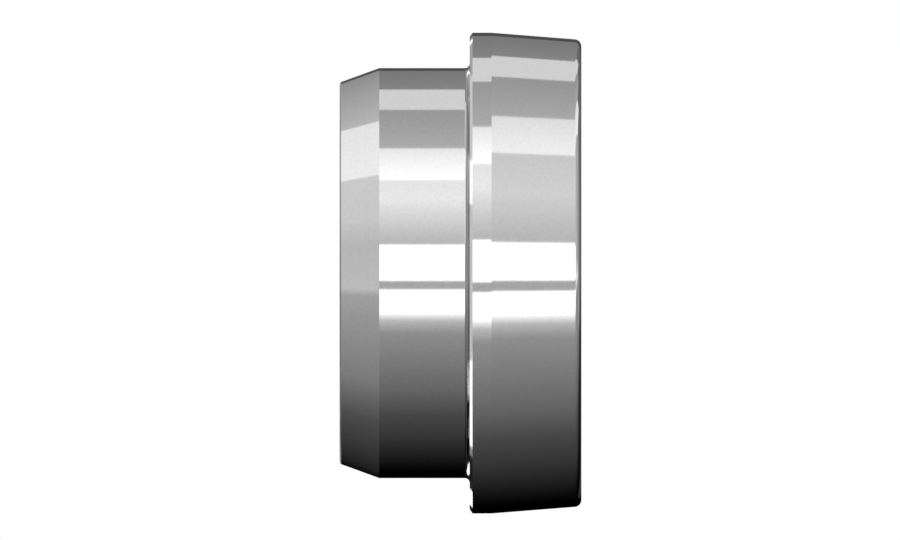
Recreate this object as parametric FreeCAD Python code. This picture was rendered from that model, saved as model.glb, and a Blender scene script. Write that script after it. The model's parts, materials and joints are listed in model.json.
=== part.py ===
import FreeCAD, Part
import math
import os

# A tube sleeve, turned from bar in one piece. A metal tube passes through its bore. A union
# nut slides on over the plain body and pulls on the shoulder of the wider head, which clamps
# the flanged end of the tube to the fitting.
#
# Sizes are in millimetres, and angles in degrees from the axis. The axis is Z. The head's
# flat front face lies at Z = 0, and the body rises from the head to the tail.

# Bore
tube_diameter = 25.0
tube_clearance = 0.2  # on the diameter
bore_mouth_radius = 1.0  # front edge of the bore, which the tube's flange bends over
tail_bore_chamfer = 0.3

# Body
body_wall = 1.9
body_length = 9.2  # shoulder to tail face
tail_wall = 0.88  # what the outer chamfer leaves at the tail face
tail_chamfer_angle = 20.0
tail_edge_break = 0.1

# Head
shoulder_step = 2.5  # from the body out to the head's widest part
head_length = 7.9  # front face to shoulder
head_land_length = 1.55  # straight stretch behind the taper, with its rim chamfer
head_taper_angle = 4.5
nose_radius = 0.5
rim_chamfer_length = 0.2  # along the axis
rim_chamfer_depth = 0.3  # across it
root_fillet_radius = 0.35

# Radii and heights that follow
bore_radius = (tube_diameter + tube_clearance) / 2
body_radius = bore_radius + body_wall
tail_radius = bore_radius + tail_wall
head_radius = body_radius + shoulder_step
taper_top = head_length - head_land_length
front_radius = head_radius - taper_top * math.tan(math.radians(head_taper_angle))
tail_height = head_length + body_length
chamfer_slope = math.tan(math.radians(tail_chamfer_angle))
chamfer_start = tail_height - (body_radius - tail_radius) / chamfer_slope


def shaped_corner(before, corner, after, radius):
    """First point, last point and arc of a corner. A radius of 0 leaves it sharp, with no arc."""
    if radius == 0:
        return corner, corner, []
    arriving = (corner - before).normalize()
    leaving = (after - corner).normalize()
    half_turn = arriving.getAngle(leaving) / 2
    reach = radius * math.tan(half_turn)
    first = corner - arriving * reach
    last = corner + leaving * reach
    inward = (leaving - arriving).normalize()
    middle = corner + inward * (radius / math.cos(half_turn) - radius)
    return first, last, [Part.Arc(first, middle, last).toShape()]


def outline(corners):
    """Closed wire through corners, each given as (distance from axis, height, rounding)."""
    places = [FreeCAD.Vector(radius, 0, height) for radius, height, _ in corners]
    shaped = []
    for index, (_, _, rounding) in enumerate(corners):
        after = places[(index + 1) % len(places)]
        shaped.append(shaped_corner(places[index - 1], places[index], after, rounding))
    edges = []
    for index, (first, _, arc) in enumerate(shaped):
        previous_last = shaped[index - 1][1]
        edges.append(Part.makeLine(previous_last, first))
        edges.extend(arc)
    return Part.Wire(edges)


def head_corners():
    return [
        (front_radius, 0, nose_radius),
        (head_radius, taper_top, 0),
        (head_radius, head_length - rim_chamfer_length, 0),
        (head_radius - rim_chamfer_depth, head_length, 0),
    ]


def body_corners():
    return [
        (body_radius, head_length, root_fillet_radius),
        (body_radius, chamfer_start, 0),
        (tail_radius + tail_edge_break * chamfer_slope, tail_height - tail_edge_break, 0),
        (tail_radius - tail_edge_break, tail_height, 0),
    ]


def bore_corners():
    return [
        (bore_radius + tail_bore_chamfer, tail_height, 0),
        (bore_radius, tail_height - tail_bore_chamfer, 0),
        (bore_radius, 0, bore_mouth_radius),
    ]


def sleeve():
    half_section = Part.Face(outline(head_corners() + body_corners() + bore_corners()))
    return half_section.revolve(FreeCAD.Vector(0, 0, 0), FreeCAD.Vector(0, 0, 1), 360)


def main():
    os.makedirs("parts", exist_ok=True)
    solid = sleeve()
    solid.exportStep("parts/sleeve.step")
    print("sleeve:", "sound" if solid.isValid() else "faulty", "solid of", round(solid.Volume), "mm3")


main()
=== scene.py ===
import bmesh
import bpy
import json
import math
from mathutils import Matrix, Vector


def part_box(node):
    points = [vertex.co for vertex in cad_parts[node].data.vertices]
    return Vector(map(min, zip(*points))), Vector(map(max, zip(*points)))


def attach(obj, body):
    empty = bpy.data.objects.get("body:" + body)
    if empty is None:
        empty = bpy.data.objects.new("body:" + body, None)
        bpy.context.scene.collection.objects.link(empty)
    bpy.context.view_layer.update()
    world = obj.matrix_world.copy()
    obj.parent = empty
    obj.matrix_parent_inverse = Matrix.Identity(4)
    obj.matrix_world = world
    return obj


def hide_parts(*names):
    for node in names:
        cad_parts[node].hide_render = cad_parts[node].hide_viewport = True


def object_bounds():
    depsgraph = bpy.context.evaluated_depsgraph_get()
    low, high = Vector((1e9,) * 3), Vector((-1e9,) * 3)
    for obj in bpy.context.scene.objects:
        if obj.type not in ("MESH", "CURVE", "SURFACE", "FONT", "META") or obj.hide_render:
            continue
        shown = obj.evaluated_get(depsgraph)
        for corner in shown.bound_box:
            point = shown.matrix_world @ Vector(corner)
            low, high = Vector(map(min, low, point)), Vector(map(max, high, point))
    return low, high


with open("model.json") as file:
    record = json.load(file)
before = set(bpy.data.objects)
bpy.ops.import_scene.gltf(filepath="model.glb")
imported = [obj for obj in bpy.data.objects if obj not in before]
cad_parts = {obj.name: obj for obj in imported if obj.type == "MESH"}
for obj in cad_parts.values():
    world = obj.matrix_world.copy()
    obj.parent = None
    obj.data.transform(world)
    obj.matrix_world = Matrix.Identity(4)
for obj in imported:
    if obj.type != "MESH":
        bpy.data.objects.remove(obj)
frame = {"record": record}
cadLow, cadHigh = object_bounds()
print("frame loaded")

mm = 0.001
touching = 0.002 * mm  # two places closer than this are the same place
cutTolerance = touching / 10
mounts = {mount["name"]: mount for mount in frame["record"]["mounts"]}


# Picking and turning

def pick(kind, belongs):  # kind is VERT, EDGE or FACE; belongs says which ones
    bpy.ops.mesh.select_mode(type=kind)
    bpy.ops.mesh.select_all(action="DESELECT")
    mesh = bmesh.from_edit_mesh(bpy.context.object.data)
    parts = {"VERT": mesh.verts, "EDGE": mesh.edges, "FACE": mesh.faces}[kind]
    chosen = [part for part in parts if belongs(part)]
    for part in chosen:
        part.select_set(True)
    bmesh.update_edit_mesh(bpy.context.object.data)
    return len(chosen)


def inOrder():  # spin lists its edges and faces in another order each run
    mesh = bmesh.from_edit_mesh(bpy.context.object.data)
    mesh.verts.index_update()
    count = len(mesh.verts)

    def place(part):
        ends = [end.index for end in part.verts]
        return min(ends) * count + max(ends)

    mesh.edges.sort(key=place)
    mesh.faces.sort(key=place)
    bmesh.update_edit_mesh(bpy.context.object.data)


def onRing(edge, radius, height):
    return all(
        abs(Vector(end.co.xy).length - radius) < touching and abs(end.co.z - height) < touching
        for end in edge.verts
    )


def cutOff(place, slant, belongs):  # slant points at the side that is turned away
    pick("FACE", belongs)
    bpy.ops.mesh.bisect(
        plane_co=(place[0], 0, place[1]),
        plane_no=Vector((slant[0], 0, slant[1])).normalized(),
        clear_outer=True,
        threshold=cutTolerance,
    )


# The sleeve, turned from its half section

sleeve = {
    "tailWall": 0.88 * mm,
    "tailChamferAngle": math.radians(20),
    "tailEdgeBreak": 0.1 * mm,
    "tailBoreChamfer": 0.3 * mm,
    "headLand": 1.55 * mm,
    "headTaper": math.radians(4.5),
    "rimChamferLength": 0.2 * mm,
    "rimChamferDepth": 0.3 * mm,
    "noseRadius": 0.5 * mm,
    "boreMouthRadius": 1.0 * mm,
    "rootFillet": 0.35 * mm,
    "facesRound": 320,
    "facesPerRounding": 12,
    "straightWithin": math.radians(0.5),
}


def turnSleeve(sizes):
    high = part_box("sleeve")[1]
    bore = mounts["tube_bore"]["dims"]["r_mm"] * mm
    body = mounts["body_outside"]["dims"]["r_mm"] * mm
    head = high.x
    shoulder = mounts["nut_shoulder"]["pos_m"][2]
    tail = high.z
    taperTop = shoulder - sizes["headLand"]
    nose = head - taperTop * math.tan(sizes["headTaper"])
    chamferSlope = math.tan(sizes["tailChamferAngle"])
    tailEdge = bore + sizes["tailWall"]
    chamferFoot = tail - (body - tailEdge) / chamferSlope

    # blank: the body's wall from end to end, with the head drawn out of its foot
    bpy.ops.object.select_all(action="DESELECT")
    bpy.ops.mesh.primitive_plane_add(
        size=1, location=((bore + body) / 2, 0, tail / 2), rotation=(math.pi / 2, 0, 0)
    )
    piece = bpy.context.object
    piece.name = "turned_sleeve"
    piece.scale = (body - bore, tail, 1)
    bpy.ops.object.transform_apply(location=True, rotation=True, scale=True)
    bpy.ops.object.mode_set(mode="EDIT")
    pick("FACE", lambda face: True)
    bpy.ops.mesh.bisect(plane_co=(0, 0, shoulder), plane_no=(0, 0, 1), threshold=cutTolerance)
    pick("EDGE", lambda edge: all(
        abs(end.co.x - body) < touching and end.co.z < shoulder + touching for end in edge.verts
    ))
    bpy.ops.mesh.extrude_region_move(TRANSFORM_OT_translate={"value": (head - body, 0, 0)})

    # slanted cuts
    def ofHead(face):
        return face.calc_center_median().x > body

    def ofBody(face):
        return face.calc_center_median().z > shoulder

    cutOff((head, taperTop), (1, -math.tan(sizes["headTaper"])), ofHead)
    cutOff(
        (head, shoulder - sizes["rimChamferLength"]),
        (sizes["rimChamferLength"], sizes["rimChamferDepth"]),
        ofHead,
    )
    cutOff((body, chamferFoot), (1, chamferSlope), ofBody)
    edgeBreak = sizes["tailEdgeBreak"]
    cutOff((tailEdge - edgeBreak, tail), (edgeBreak, edgeBreak * (1 + chamferSlope)), ofBody)
    boreChamfer = sizes["tailBoreChamfer"]
    cutOff((bore, tail - boreChamfer), (-1, 1), ofBody)

    # one closed outline
    bpy.ops.mesh.select_all(action="SELECT")
    bpy.ops.mesh.dissolve_limited(angle_limit=sizes["straightWithin"])
    bpy.ops.mesh.select_all(action="SELECT")
    bpy.ops.mesh.delete(type="ONLY_FACE")

    # rounded corners of the outline
    quarter = math.pi / 2
    for radius, height, rounding, turn in (
        (nose, 0, sizes["noseRadius"], quarter - sizes["headTaper"]),
        (bore, 0, sizes["boreMouthRadius"], quarter),
        (body, shoulder, sizes["rootFillet"], quarter),
    ):
        place = Vector((radius, 0, height))
        found = pick("VERT", lambda corner: (corner.co - place).length < touching)
        print("rounded corner", round(radius / mm, 3), round(height / mm, 3), found)
        bpy.ops.mesh.bevel(
            offset=rounding * math.tan(turn / 2),
            segments=sizes["facesPerRounding"],
            affect="VERTICES",
            clamp_overlap=False,
        )

    # spun round the axis
    bpy.ops.mesh.select_all(action="SELECT")
    bpy.ops.mesh.spin(
        steps=sizes["facesRound"], angle=math.tau, center=(0, 0, 0), axis=(0, 0, 1)
    )
    inOrder()
    bpy.ops.mesh.select_all(action="SELECT")
    bpy.ops.mesh.remove_doubles(threshold=touching)
    bpy.ops.mesh.normals_make_consistent(inside=False)

    # crisp edges stay crisp in the polish
    bpy.ops.mesh.faces_shade_smooth()
    for radius, height in (
        (head, taperTop),
        (head, shoulder - sizes["rimChamferLength"]),
        (head - sizes["rimChamferDepth"], shoulder),
        (body, chamferFoot),
        (tailEdge + edgeBreak * chamferSlope, tail - edgeBreak),
        (tailEdge - edgeBreak, tail),
        (bore + boreChamfer, tail),
        (bore, tail - boreChamfer),
    ):
        found = pick("EDGE", lambda edge: onRing(edge, radius, height))
        print("crisp ring", round(radius / mm, 3), round(height / mm, 3), found)
        bpy.ops.mesh.mark_sharp()
    bpy.ops.object.mode_set(mode="OBJECT")
    bpy.ops.object.modifier_add(type="WEIGHTED_NORMAL")
    piece.modifiers[-1].keep_sharp = True
    bpy.ops.object.modifier_apply(modifier=piece.modifiers[-1].name)
    print("sleeve turned:", len(piece.data.polygons), "faces")
    return piece


turnedSleeve = turnSleeve(sleeve)
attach(turnedSleeve, "root")
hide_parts("sleeve")


# Steel: polished outside, as cut in the bore and on the flat faces, and on the broken tail edge a
# darker copy whose darker colour is painted shade

polished = {
    "colour": 0.8,
    "grainSize": 0.2 * mm,
    "grainDepth": 0.06,
    "roughness": (0.05, 0.07),
    "lineSpacing": 0.3 * mm,
    "lineHeight": 0.0002 * mm,
}
cut = {
    "colour": 0.8,
    "grainSize": 0.3 * mm,
    "grainDepth": 0.05,
    "roughness": (0.16, 0.30),
    "lineSpacing": 0.14 * mm,
    "lineHeight": 0.001 * mm,
}
# broken tail edge: rough like a filed edge, and its colour is darker than the steel's, which is
# painted shade that dims its reflection
brokenEdgePaintedShade = {
    "colour": 0.65,
    "grainSize": 0.2 * mm,
    "grainDepth": 0.1,
    "roughness": (0.4, 0.5),
    "lineSpacing": 0.1 * mm,
    "lineHeight": 0.001 * mm,
}
noiseSpan = (0.3, 0.7)  # nearly all of a noise texture's values lie between these


def steelMaterial(name, finish):
    material = bpy.data.materials.new(name)
    material.use_nodes = True
    nodes = material.node_tree.nodes
    links = material.node_tree.links
    shader = nodes["Principled BSDF"]
    shader.inputs["Metallic"].default_value = 1
    place = nodes.new("ShaderNodeTexCoord")

    # fine grain in the colour
    grain = nodes.new("ShaderNodeTexNoise")
    grain.inputs["Scale"].default_value = 1 / finish["grainSize"]
    grain.inputs["Detail"].default_value = 1
    tone = nodes.new("ShaderNodeMapRange")
    tone.inputs["To Min"].default_value = finish["colour"] * (1 - finish["grainDepth"])
    tone.inputs["To Max"].default_value = finish["colour"] * (1 + finish["grainDepth"])
    links.new(place.outputs["Object"], grain.inputs["Vector"])
    links.new(grain.outputs["Fac"], tone.inputs["Value"])
    links.new(tone.outputs["Result"], shader.inputs["Base Color"])

    # turning lines, which depend on the distance from the axis and on the height alone
    across = nodes.new("ShaderNodeVectorMath")
    across.operation = "MULTIPLY"
    across.inputs[1].default_value = (1, 1, 0)
    radius = nodes.new("ShaderNodeVectorMath")
    radius.operation = "LENGTH"
    height = nodes.new("ShaderNodeSeparateXYZ")
    section = nodes.new("ShaderNodeCombineXYZ")
    lines = nodes.new("ShaderNodeTexNoise")
    lines.inputs["Scale"].default_value = 1 / finish["lineSpacing"]
    lines.inputs["Detail"].default_value = 2
    links.new(place.outputs["Object"], across.inputs[0])
    links.new(across.outputs["Vector"], radius.inputs[0])
    links.new(place.outputs["Object"], height.inputs["Vector"])
    links.new(radius.outputs["Value"], section.inputs["X"])
    links.new(height.outputs["Z"], section.inputs["Z"])
    links.new(section.outputs["Vector"], lines.inputs["Vector"])

    sheen = nodes.new("ShaderNodeMapRange")
    sheen.inputs["From Min"].default_value = noiseSpan[0]
    sheen.inputs["From Max"].default_value = noiseSpan[1]
    sheen.inputs["To Min"].default_value = finish["roughness"][0]
    sheen.inputs["To Max"].default_value = finish["roughness"][1]
    links.new(lines.outputs["Fac"], sheen.inputs["Value"])
    links.new(sheen.outputs["Result"], shader.inputs["Roughness"])
    groove = nodes.new("ShaderNodeBump")
    groove.inputs["Distance"].default_value = finish["lineHeight"]
    links.new(lines.outputs["Fac"], groove.inputs["Height"])
    links.new(groove.outputs["Normal"], shader.inputs["Normal"])
    return material


flatAcross = 0.999  # height part of the normal, for a face that lies flat across the axis


def isCut(face):
    facesTheAxis = face.normal.xy.dot(face.calc_center_median().xy) < 0
    return facesTheAxis or abs(face.normal.z) > flatAcross


def isBrokenEdge(face):
    return not isCut(face) and face.calc_center_median().z > cadHigh.z - sleeve["tailEdgeBreak"]


turnedSleeve.data.materials.append(steelMaterial("polished_steel", polished))
bpy.ops.object.mode_set(mode="EDIT")
# the cut faces, then the broken tail edge, which takes the darker copy of the steel with its painted
# shade
for name, finish, belongs in (
    ("cut_steel", cut, isCut),
    ("broken_edge_painted_shade", brokenEdgePaintedShade, isBrokenEdge),
):
    turnedSleeve.data.materials.append(steelMaterial(name, finish))
    turnedSleeve.active_material_index = len(turnedSleeve.data.materials) - 1
    print(name, "faces:", pick("FACE", belongs))
    bpy.ops.object.material_slot_assign()
bpy.ops.object.mode_set(mode="OBJECT")
print("steel made")


# Panels round the part, which its polish mirrors. Azimuth 0 is the camera's side and 90 is
# the picture's upper side, and rows are degrees above the level of the part. What is shown
# runs from the first edge to the second. A lean is how far an edge moves round per degree down,
# and a bow is how far a panel has sunk at bowReach degrees round.

near = 5  # metres from the part
behind = 5.6  # the same, for panels that others pass in front of
archBow = 13.5
ringBow = 10
bowReach = 100
panelStep = {"azimuth": 3, "rows": 5}  # degrees between the corners of a panel's mesh

panels = [
    # walls, mirrored by the body, the head and the nose
    {"name": "rear_shade", "azimuth": (180, 161), "rows": (-24, 3), "shown": (0.28, 0.28),
     "lean": (0, 0.4)},
    {"name": "rear_wall", "azimuth": (161, 127), "rows": (-14, 3), "shown": (0.44, 0.51),
     "lean": (0.4, 0.7)},
    {"name": "upper_card", "azimuth": (127, 105.5), "rows": (-25, 3), "shown": (0.80, 0.81),
     "lean": (0.7, 0.9)},
    {"name": "upper_wall", "azimuth": (105.5, 75), "rows": (-34, -4), "shown": (0.57, 0.65),
     "lean": (0.9, 1.05)},
    {"name": "upper_wall_top", "azimuth": (105.5, 75), "rows": (-4, 3), "shown": (0.58, 0.66),
     "lean": (0.9, 1.05)},
    {"name": "window", "azimuth": (75, 54), "rows": (-44, -4), "shown": (0.86, 0.94),
     "lean": (1.05, 0.83)},
    {"name": "window_top", "azimuth": (75, 54), "rows": (-4, 3), "shown": (0.90, 1.03),
     "lean": (1.05, 0.83)},
    {"name": "soft_wall", "azimuth": (54, 36), "rows": (-20, -4), "shown": (0.77, 0.81),
     "lean": (0.83, 0.4)},
    {"name": "soft_wall_end", "azimuth": (36, 16), "rows": (-20, -4), "shown": (0.81, 0.70),
     "lean": (0.4, -0.12)},
    {"name": "soft_wall_foot", "azimuth": (54, 16), "rows": (-50, -20), "shown": (0.64, 0.70),
     "lean": (0.83, -0.12)},
    {"name": "soft_wall_top", "azimuth": (54, 42), "rows": (-4, 3), "shown": (0.89, 0.91),
     "lean": (0.83, 0.54)},
    {"name": "soft_wall_top_end", "azimuth": (42, 16), "rows": (-4, 3), "shown": (0.91, 0.70),
     "lean": (0.54, -0.12)},
    {"name": "front_strip", "azimuth": (16, -4.4), "rows": (-24, 3), "shown": (1.05, 1.05),
     "lean": (-0.12, 0.08)},
    {"name": "front_strip_foot", "azimuth": (16, -4.4), "rows": (-62, -24), "shown": (0.68, 0.84),
     "lean": (-0.12, 0.08)},
    {"name": "front_gap", "azimuth": (-4.4, -9), "rows": (-24, 3), "shown": (0.63, 0.63),
     "lean": (0.08, 0.05)},
    {"name": "low_strip", "azimuth": (-9, -22.8), "rows": (-24, 3), "shown": (1.05, 1.05),
     "lean": (0.05, 0.25)},
    {"name": "low_strip_foot", "azimuth": (-4.4, -22.8), "rows": (-62, -24), "shown": (0.96, 0.52),
     "lean": (0.08, 0.25)},
    {"name": "low_fade", "azimuth": (-22.8, -27), "rows": (-24, 3), "shown": (1.0, 0.71),
     "lean": (0.25, 0.25)},
    {"name": "low_fade_end", "azimuth": (-27, -34), "rows": (-24, 3), "shown": (0.71, 0.55),
     "lean": (0.25, 0.25)},
    {"name": "low_fade_foot", "azimuth": (-22.8, -34), "rows": (-62, -24), "shown": (0.52, 0.54),
     "lean": (0.25, 0.25)},
    {"name": "shade_near", "azimuth": (-34, -70), "rows": (-62, 3), "shown": (0.55, 0.39),
     "lean": (0.25, 0)},
    {"name": "shade_side", "azimuth": (-70, -88), "rows": (-62, 3), "shown": (0.39, 0.28)},
    {"name": "shade_side_end", "azimuth": (-88, -105), "rows": (-62, 3), "shown": (0.28, 0.22)},
    {"name": "shade_far", "azimuth": (-105, -152), "rows": (-14, 3), "shown": (0.22, 0.03)},
    {"name": "shade_far_foot", "azimuth": (-105, -152), "rows": (-62, -14), "shown": (0.24, 0)},
    {"name": "rear_dark", "azimuth": (-152, -180), "rows": (-14, 3), "shown": (0.02, 0)},
    # light line above the walls, mirrored by the shoulder's root
    {"name": "line_rear", "azimuth": (114, 75), "rows": (3, 15), "shown": (0.82, 0.82)},
    {"name": "line_front", "azimuth": (75, 17), "rows": (3, 19), "shown": (1.0, 0.86)},
    {"name": "line_strip", "azimuth": (17, -24), "rows": (3, 9), "shown": (0.95, 0.80)},
    # arch, mirrored by the tail's chamfer
    {"name": "arch_end", "azimuth": (180, 164), "rows": (3, 8), "shown": (0.30, 0.30)},
    {"name": "arch_rear", "azimuth": (164, 103), "rows": (36, 44), "shown": (0.52, 0.70),
     "bow": archBow},
    {"name": "arch_window", "azimuth": (103, 64), "rows": (38, 42), "shown": (0.89, 0.93),
     "bow": archBow},
    {"name": "arch_soft", "azimuth": (64, 34), "rows": (38, 42), "shown": (0.79, 0.78),
     "bow": archBow},
    {"name": "arch_soft_end", "azimuth": (34, 18), "rows": (38, 42), "shown": (0.77, 0.71),
     "bow": archBow},
    {"name": "arch_front", "azimuth": (18, -10.5), "rows": (38, 42), "shown": (0.71, 0.73),
     "bow": archBow},
    {"name": "arch_edge", "azimuth": (-10.5, -15.5), "rows": (38, 42), "shown": (0.73, 0.61),
     "bow": archBow},
    {"name": "arch_shade", "azimuth": (-15.5, -70), "rows": (38, 42), "shown": (0.62, 0.48),
     "bow": archBow},
    {"name": "arch_far", "azimuth": (-70, -98), "rows": (38, 42), "shown": (0.48, 0.32),
     "bow": archBow},
    {"name": "arch_dark", "azimuth": (-98, -160), "rows": (36, 44), "shown": (0.31, 0.12),
     "bow": archBow},
    {"name": "arch_foot", "azimuth": (-160, -180), "rows": (3, 9), "shown": (0.10, 0.05)},
    # cards behind the part, mirrored by the shoulder's rim and root
    {"name": "back_card", "azimuth": (177, 151), "rows": (11.5, 14.6), "shown": (1.05, 1.05)},
    {"name": "back_wall", "azimuth": (180, 151), "rows": (14.6, 31), "shown": (0.58, 0.62)},
    {"name": "back_wall_top", "azimuth": (163, 146), "rows": (31, 54.6), "shown": (0.76, 0.76)},
    {"name": "back_card_top", "azimuth": (163, 146), "rows": (54.6, 62), "shown": (1.05, 1.05)},
    {"name": "back_card_low", "azimuth": (-153, -172.4), "rows": (11.5, 22.5), "shown": (1.05, 1.05)},
    {"name": "back_dark", "azimuth": (-148, -180), "rows": (22.5, 36.5), "shown": (0.14, 0.10)},
    {"name": "back_strip", "azimuth": (-152.8, -158), "rows": (39.4, 62), "shown": (1.05, 1.05)},
    {"name": "back_strip_foot", "azimuth": (-153, -160), "rows": (36.5, 39.4), "shown": (0.50, 0.50)},
    {"name": "back_shade", "azimuth": (-136, -152.8), "rows": (37, 62), "shown": (0.56, 0.32)},
    {"name": "cap", "azimuth": (180, 135), "rows": (62, 80), "shown": (0.60, 0.66)},
    {"name": "cap_low", "azimuth": (-120, -180), "rows": (62, 84), "shown": (0.42, 0.54)},
    # ring overhead, mirrored by the shoulder's rim by way of the body
    {"name": "ring_card", "azimuth": (114, 70), "rows": (65.8, 69.2), "shown": (1.15, 1.15),
     "bow": ringBow},
    {"name": "ring_wall", "azimuth": (70, -88), "rows": (65.8, 69.2), "shown": (0.83, 0.83),
     "bow": ringBow},
    {"name": "ring_card_low", "azimuth": (-88, -120), "rows": (64.8, 70.2), "shown": (1.15, 1.15),
     "bow": ringBow},
    # dark surroundings between the lights
    {"name": "dark_upper", "azimuth": (180, -10), "rows": (3, 90), "shown": (0.48, 0.46),
     "distance": behind},
    {"name": "dark_lower", "azimuth": (-10, -60), "rows": (3, 90), "shown": (0.46, 0.34),
     "distance": behind},
    {"name": "dark_side", "azimuth": (-60, -105), "rows": (3, 90), "shown": (0.34, 0.15),
     "distance": behind},
    {"name": "dark_rear", "azimuth": (-105, -180), "rows": (3, 90), "shown": (0.06, 0.04),
     "distance": behind},
    {"name": "foot_rear", "azimuth": (180, 97), "rows": (-76, -14), "shown": (0.36, 0.43),
     "distance": behind},
    {"name": "foot_front", "azimuth": (97, -45), "rows": (-76, -42), "shown": (0.55, 0.60),
     "distance": behind},
    {"name": "foot_rear_low", "azimuth": (-148, -180), "rows": (-76, -14), "shown": (0.04, 0.36),
     "distance": behind},
    {"name": "foot_low", "azimuth": (-45, -148), "rows": (-76, -62), "shown": (0.52, 0.08)},
    {"name": "underside", "azimuth": (180, -180), "rows": (-90, -76), "shown": (0.45, 0.45)},
]


displayGamma = 2.2


def panelMaterial(name, shown):
    material = bpy.data.materials.new(name)
    material.use_nodes = True
    nodes = material.node_tree.nodes
    links = material.node_tree.links
    nodes.remove(nodes["Principled BSDF"])
    place = nodes.new("ShaderNodeUVMap")
    across = nodes.new("ShaderNodeSeparateXYZ")
    tone = nodes.new("ShaderNodeMapRange")
    tone.inputs["To Min"].default_value = shown[0]
    tone.inputs["To Max"].default_value = shown[1]
    light = nodes.new("ShaderNodeGamma")
    light.inputs["Gamma"].default_value = displayGamma
    glow = nodes.new("ShaderNodeEmission")
    glow.inputs["Strength"].default_value = 1 / polished["colour"]
    links.new(place.outputs["UV"], across.inputs["Vector"])
    links.new(across.outputs["X"], tone.inputs["Value"])
    links.new(tone.outputs["Result"], light.inputs["Color"])
    links.new(light.outputs["Color"], glow.inputs["Color"])
    links.new(glow.outputs["Emission"], nodes["Material Output"].inputs["Surface"])
    material.cycles.emission_sampling = "NONE"
    return material


def hangPanel(panel):
    first, second = panel["azimuth"]
    bottom, top = panel["rows"]
    firstLean, secondLean = panel.get("lean", (0, 0))
    bow = panel.get("bow", 0)
    distance = panel.get("distance", near)
    columns = max(2, round(abs(second - first) / panelStep["azimuth"]))
    rows = max(2, round((top - bottom) / panelStep["rows"]))
    corners = []
    spread = []
    for row in range(rows + 1):
        level = bottom + (top - bottom) * row / rows
        for column in range(columns + 1):
            share = column / columns
            turned = first + (second - first) * share
            lean = firstLean + (secondLean - firstLean) * share
            azimuth = math.radians(turned - lean * level)
            elevation = math.radians(level - bow * (turned / bowReach) ** 2)
            corners.append((
                distance * math.cos(elevation) * math.sin(azimuth),
                -distance * math.cos(elevation) * math.cos(azimuth),
                distance * math.sin(elevation),
            ))
            spread.append((share, row / rows))
    faces = []
    for row in range(rows):
        for column in range(columns):
            start = row * (columns + 1) + column
            faces.append((start, start + 1, start + columns + 2, start + columns + 1))
    mesh = bpy.data.meshes.new(panel["name"])
    mesh.from_pydata(corners, [], faces)
    layer = mesh.uv_layers.new(name="spread")
    for loop in mesh.loops:
        layer.data[loop.index].uv = spread[loop.vertex_index]
    hung = bpy.data.objects.new(panel["name"], mesh)
    bpy.context.scene.collection.objects.link(hung)
    mesh.materials.append(panelMaterial(panel["name"], panel["shown"]))
    hung.visible_camera = False
    hung.visible_diffuse = False
    hung.visible_shadow = False


for panel in panels:
    hangPanel(panel)
print("panels hung:", len(panels))


# Floor, lamps and background

floor = {
    "size": 12,
    "colour": 0.8,
    "cameraLift": (0.12, 0.75),  # near the part, and far from it
    "liftDistance": (0.1, 0.6),
}


def layFloor(sizes):
    bpy.ops.object.select_all(action="DESELECT")
    bpy.ops.mesh.primitive_plane_add(size=sizes["size"])
    plane = bpy.context.object
    plane.name = "floor"
    plane.visible_glossy = False
    material = bpy.data.materials.new("pale_floor")
    material.use_nodes = True
    nodes = material.node_tree.nodes
    links = material.node_tree.links
    shader = nodes["Principled BSDF"]
    grey = sizes["colour"]
    shader.inputs["Base Color"].default_value = (grey, grey, grey, 1)
    shader.inputs["Roughness"].default_value = 1
    shader.inputs["Specular IOR Level"].default_value = 0
    place = nodes.new("ShaderNodeTexCoord")
    distance = nodes.new("ShaderNodeVectorMath")
    distance.operation = "LENGTH"
    amount = nodes.new("ShaderNodeMapRange")
    amount.inputs["From Min"].default_value = sizes["liftDistance"][0]
    amount.inputs["From Max"].default_value = sizes["liftDistance"][1]
    amount.inputs["To Min"].default_value = sizes["cameraLift"][0]
    amount.inputs["To Max"].default_value = sizes["cameraLift"][1]
    rays = nodes.new("ShaderNodeLightPath")
    lift = nodes.new("ShaderNodeMath")
    lift.operation = "MULTIPLY"
    shader.inputs["Emission Color"].default_value = (1, 1, 1, 1)
    links.new(place.outputs["Object"], distance.inputs[0])
    links.new(distance.outputs["Value"], amount.inputs["Value"])
    links.new(amount.outputs["Result"], lift.inputs[1])
    links.new(rays.outputs["Is Camera Ray"], lift.inputs[0])
    links.new(lift.outputs["Value"], shader.inputs["Emission Strength"])
    plane.data.materials.append(material)


layFloor(floor)

lamps = [
    {"name": "key_softbox", "place": (0.35, -0.3, 0.8), "size": 0.7, "power": 7},
    {"name": "fill_softbox", "place": (-0.5, 0.3, 0.7), "size": 0.7, "power": 2},
]
for lamp in lamps:
    bpy.ops.object.light_add(type="AREA", location=lamp["place"])
    light = bpy.context.object
    light.name = lamp["name"]
    light.data.size = lamp["size"]
    light.data.energy = lamp["power"]
    light.rotation_euler = Vector(lamp["place"]).to_track_quat("Z", "Y").to_euler()
    light.visible_glossy = False
    light.visible_camera = False

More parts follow.
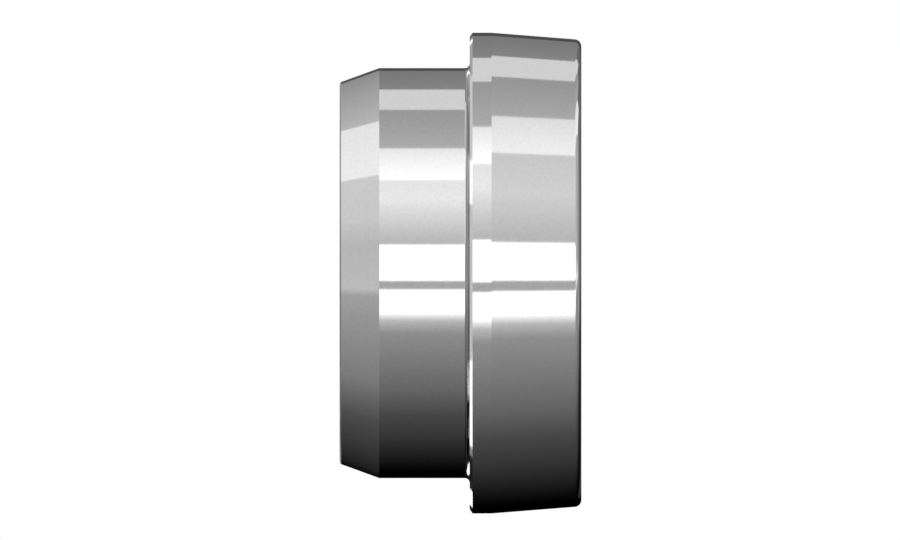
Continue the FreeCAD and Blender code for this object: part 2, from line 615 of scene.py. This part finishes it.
ambientStrength = 0.35
world = bpy.data.worlds.new("studio")
bpy.context.scene.world = world
world.use_nodes = True
worldNodes = world.node_tree.nodes
worldLinks = world.node_tree.links
ambient = worldNodes["Background"]
ambient.inputs["Color"].default_value = (1, 1, 1, 1)
ambient.inputs["Strength"].default_value = ambientStrength
backdrop = worldNodes.new("ShaderNodeBackground")
backdrop.inputs["Color"].default_value = (1, 1, 1, 1)
rays = worldNodes.new("ShaderNodeLightPath")
seenOrMirrored = worldNodes.new("ShaderNodeMath")
seenOrMirrored.operation = "MAXIMUM"
seenOrThrough = worldNodes.new("ShaderNodeMath")
seenOrThrough.operation = "MAXIMUM"
choice = worldNodes.new("ShaderNodeMixShader")
worldLinks.new(rays.outputs["Is Camera Ray"], seenOrMirrored.inputs[0])
worldLinks.new(rays.outputs["Is Glossy Ray"], seenOrMirrored.inputs[1])
worldLinks.new(seenOrMirrored.outputs["Value"], seenOrThrough.inputs[0])
worldLinks.new(rays.outputs["Is Transmission Ray"], seenOrThrough.inputs[1])
worldLinks.new(seenOrThrough.outputs["Value"], choice.inputs["Fac"])
worldLinks.new(ambient.outputs["Background"], choice.inputs[1])
worldLinks.new(backdrop.outputs["Background"], choice.inputs[2])
worldLinks.new(choice.outputs["Shader"], worldNodes["World Output"].inputs["Surface"])
world.cycles.sampling_method = "NONE"
print("floor, lamps and background ready")


# Camera, level with the part and rolled so that the head is on the right

picture = {
    "width": 900,
    "middle": (450, 270),
    "frontFaceX": 581.4,
    "tailFaceX": 339.6,
    "axisY": 273.1,
}
cameraDistance = 0.3
cameraReach = 10
pixel = cadHigh.z / (picture["frontFaceX"] - picture["tailFaceX"])
bpy.ops.object.camera_add()
camera = bpy.context.object
camera.data.type = "ORTHO"
camera.data.ortho_scale = picture["width"] * pixel
camera.data.clip_end = cameraReach
camera.matrix_world = Matrix((
    (0, 1, 0, (picture["axisY"] - picture["middle"][1]) * pixel),
    (0, 0, -1, -cameraDistance),
    (-1, 0, 0, (picture["frontFaceX"] - picture["middle"][0]) * pixel),
    (0, 0, 0, 1),
))
bpy.context.scene.camera = camera
bpy.context.scene.view_settings.view_transform = "Standard"
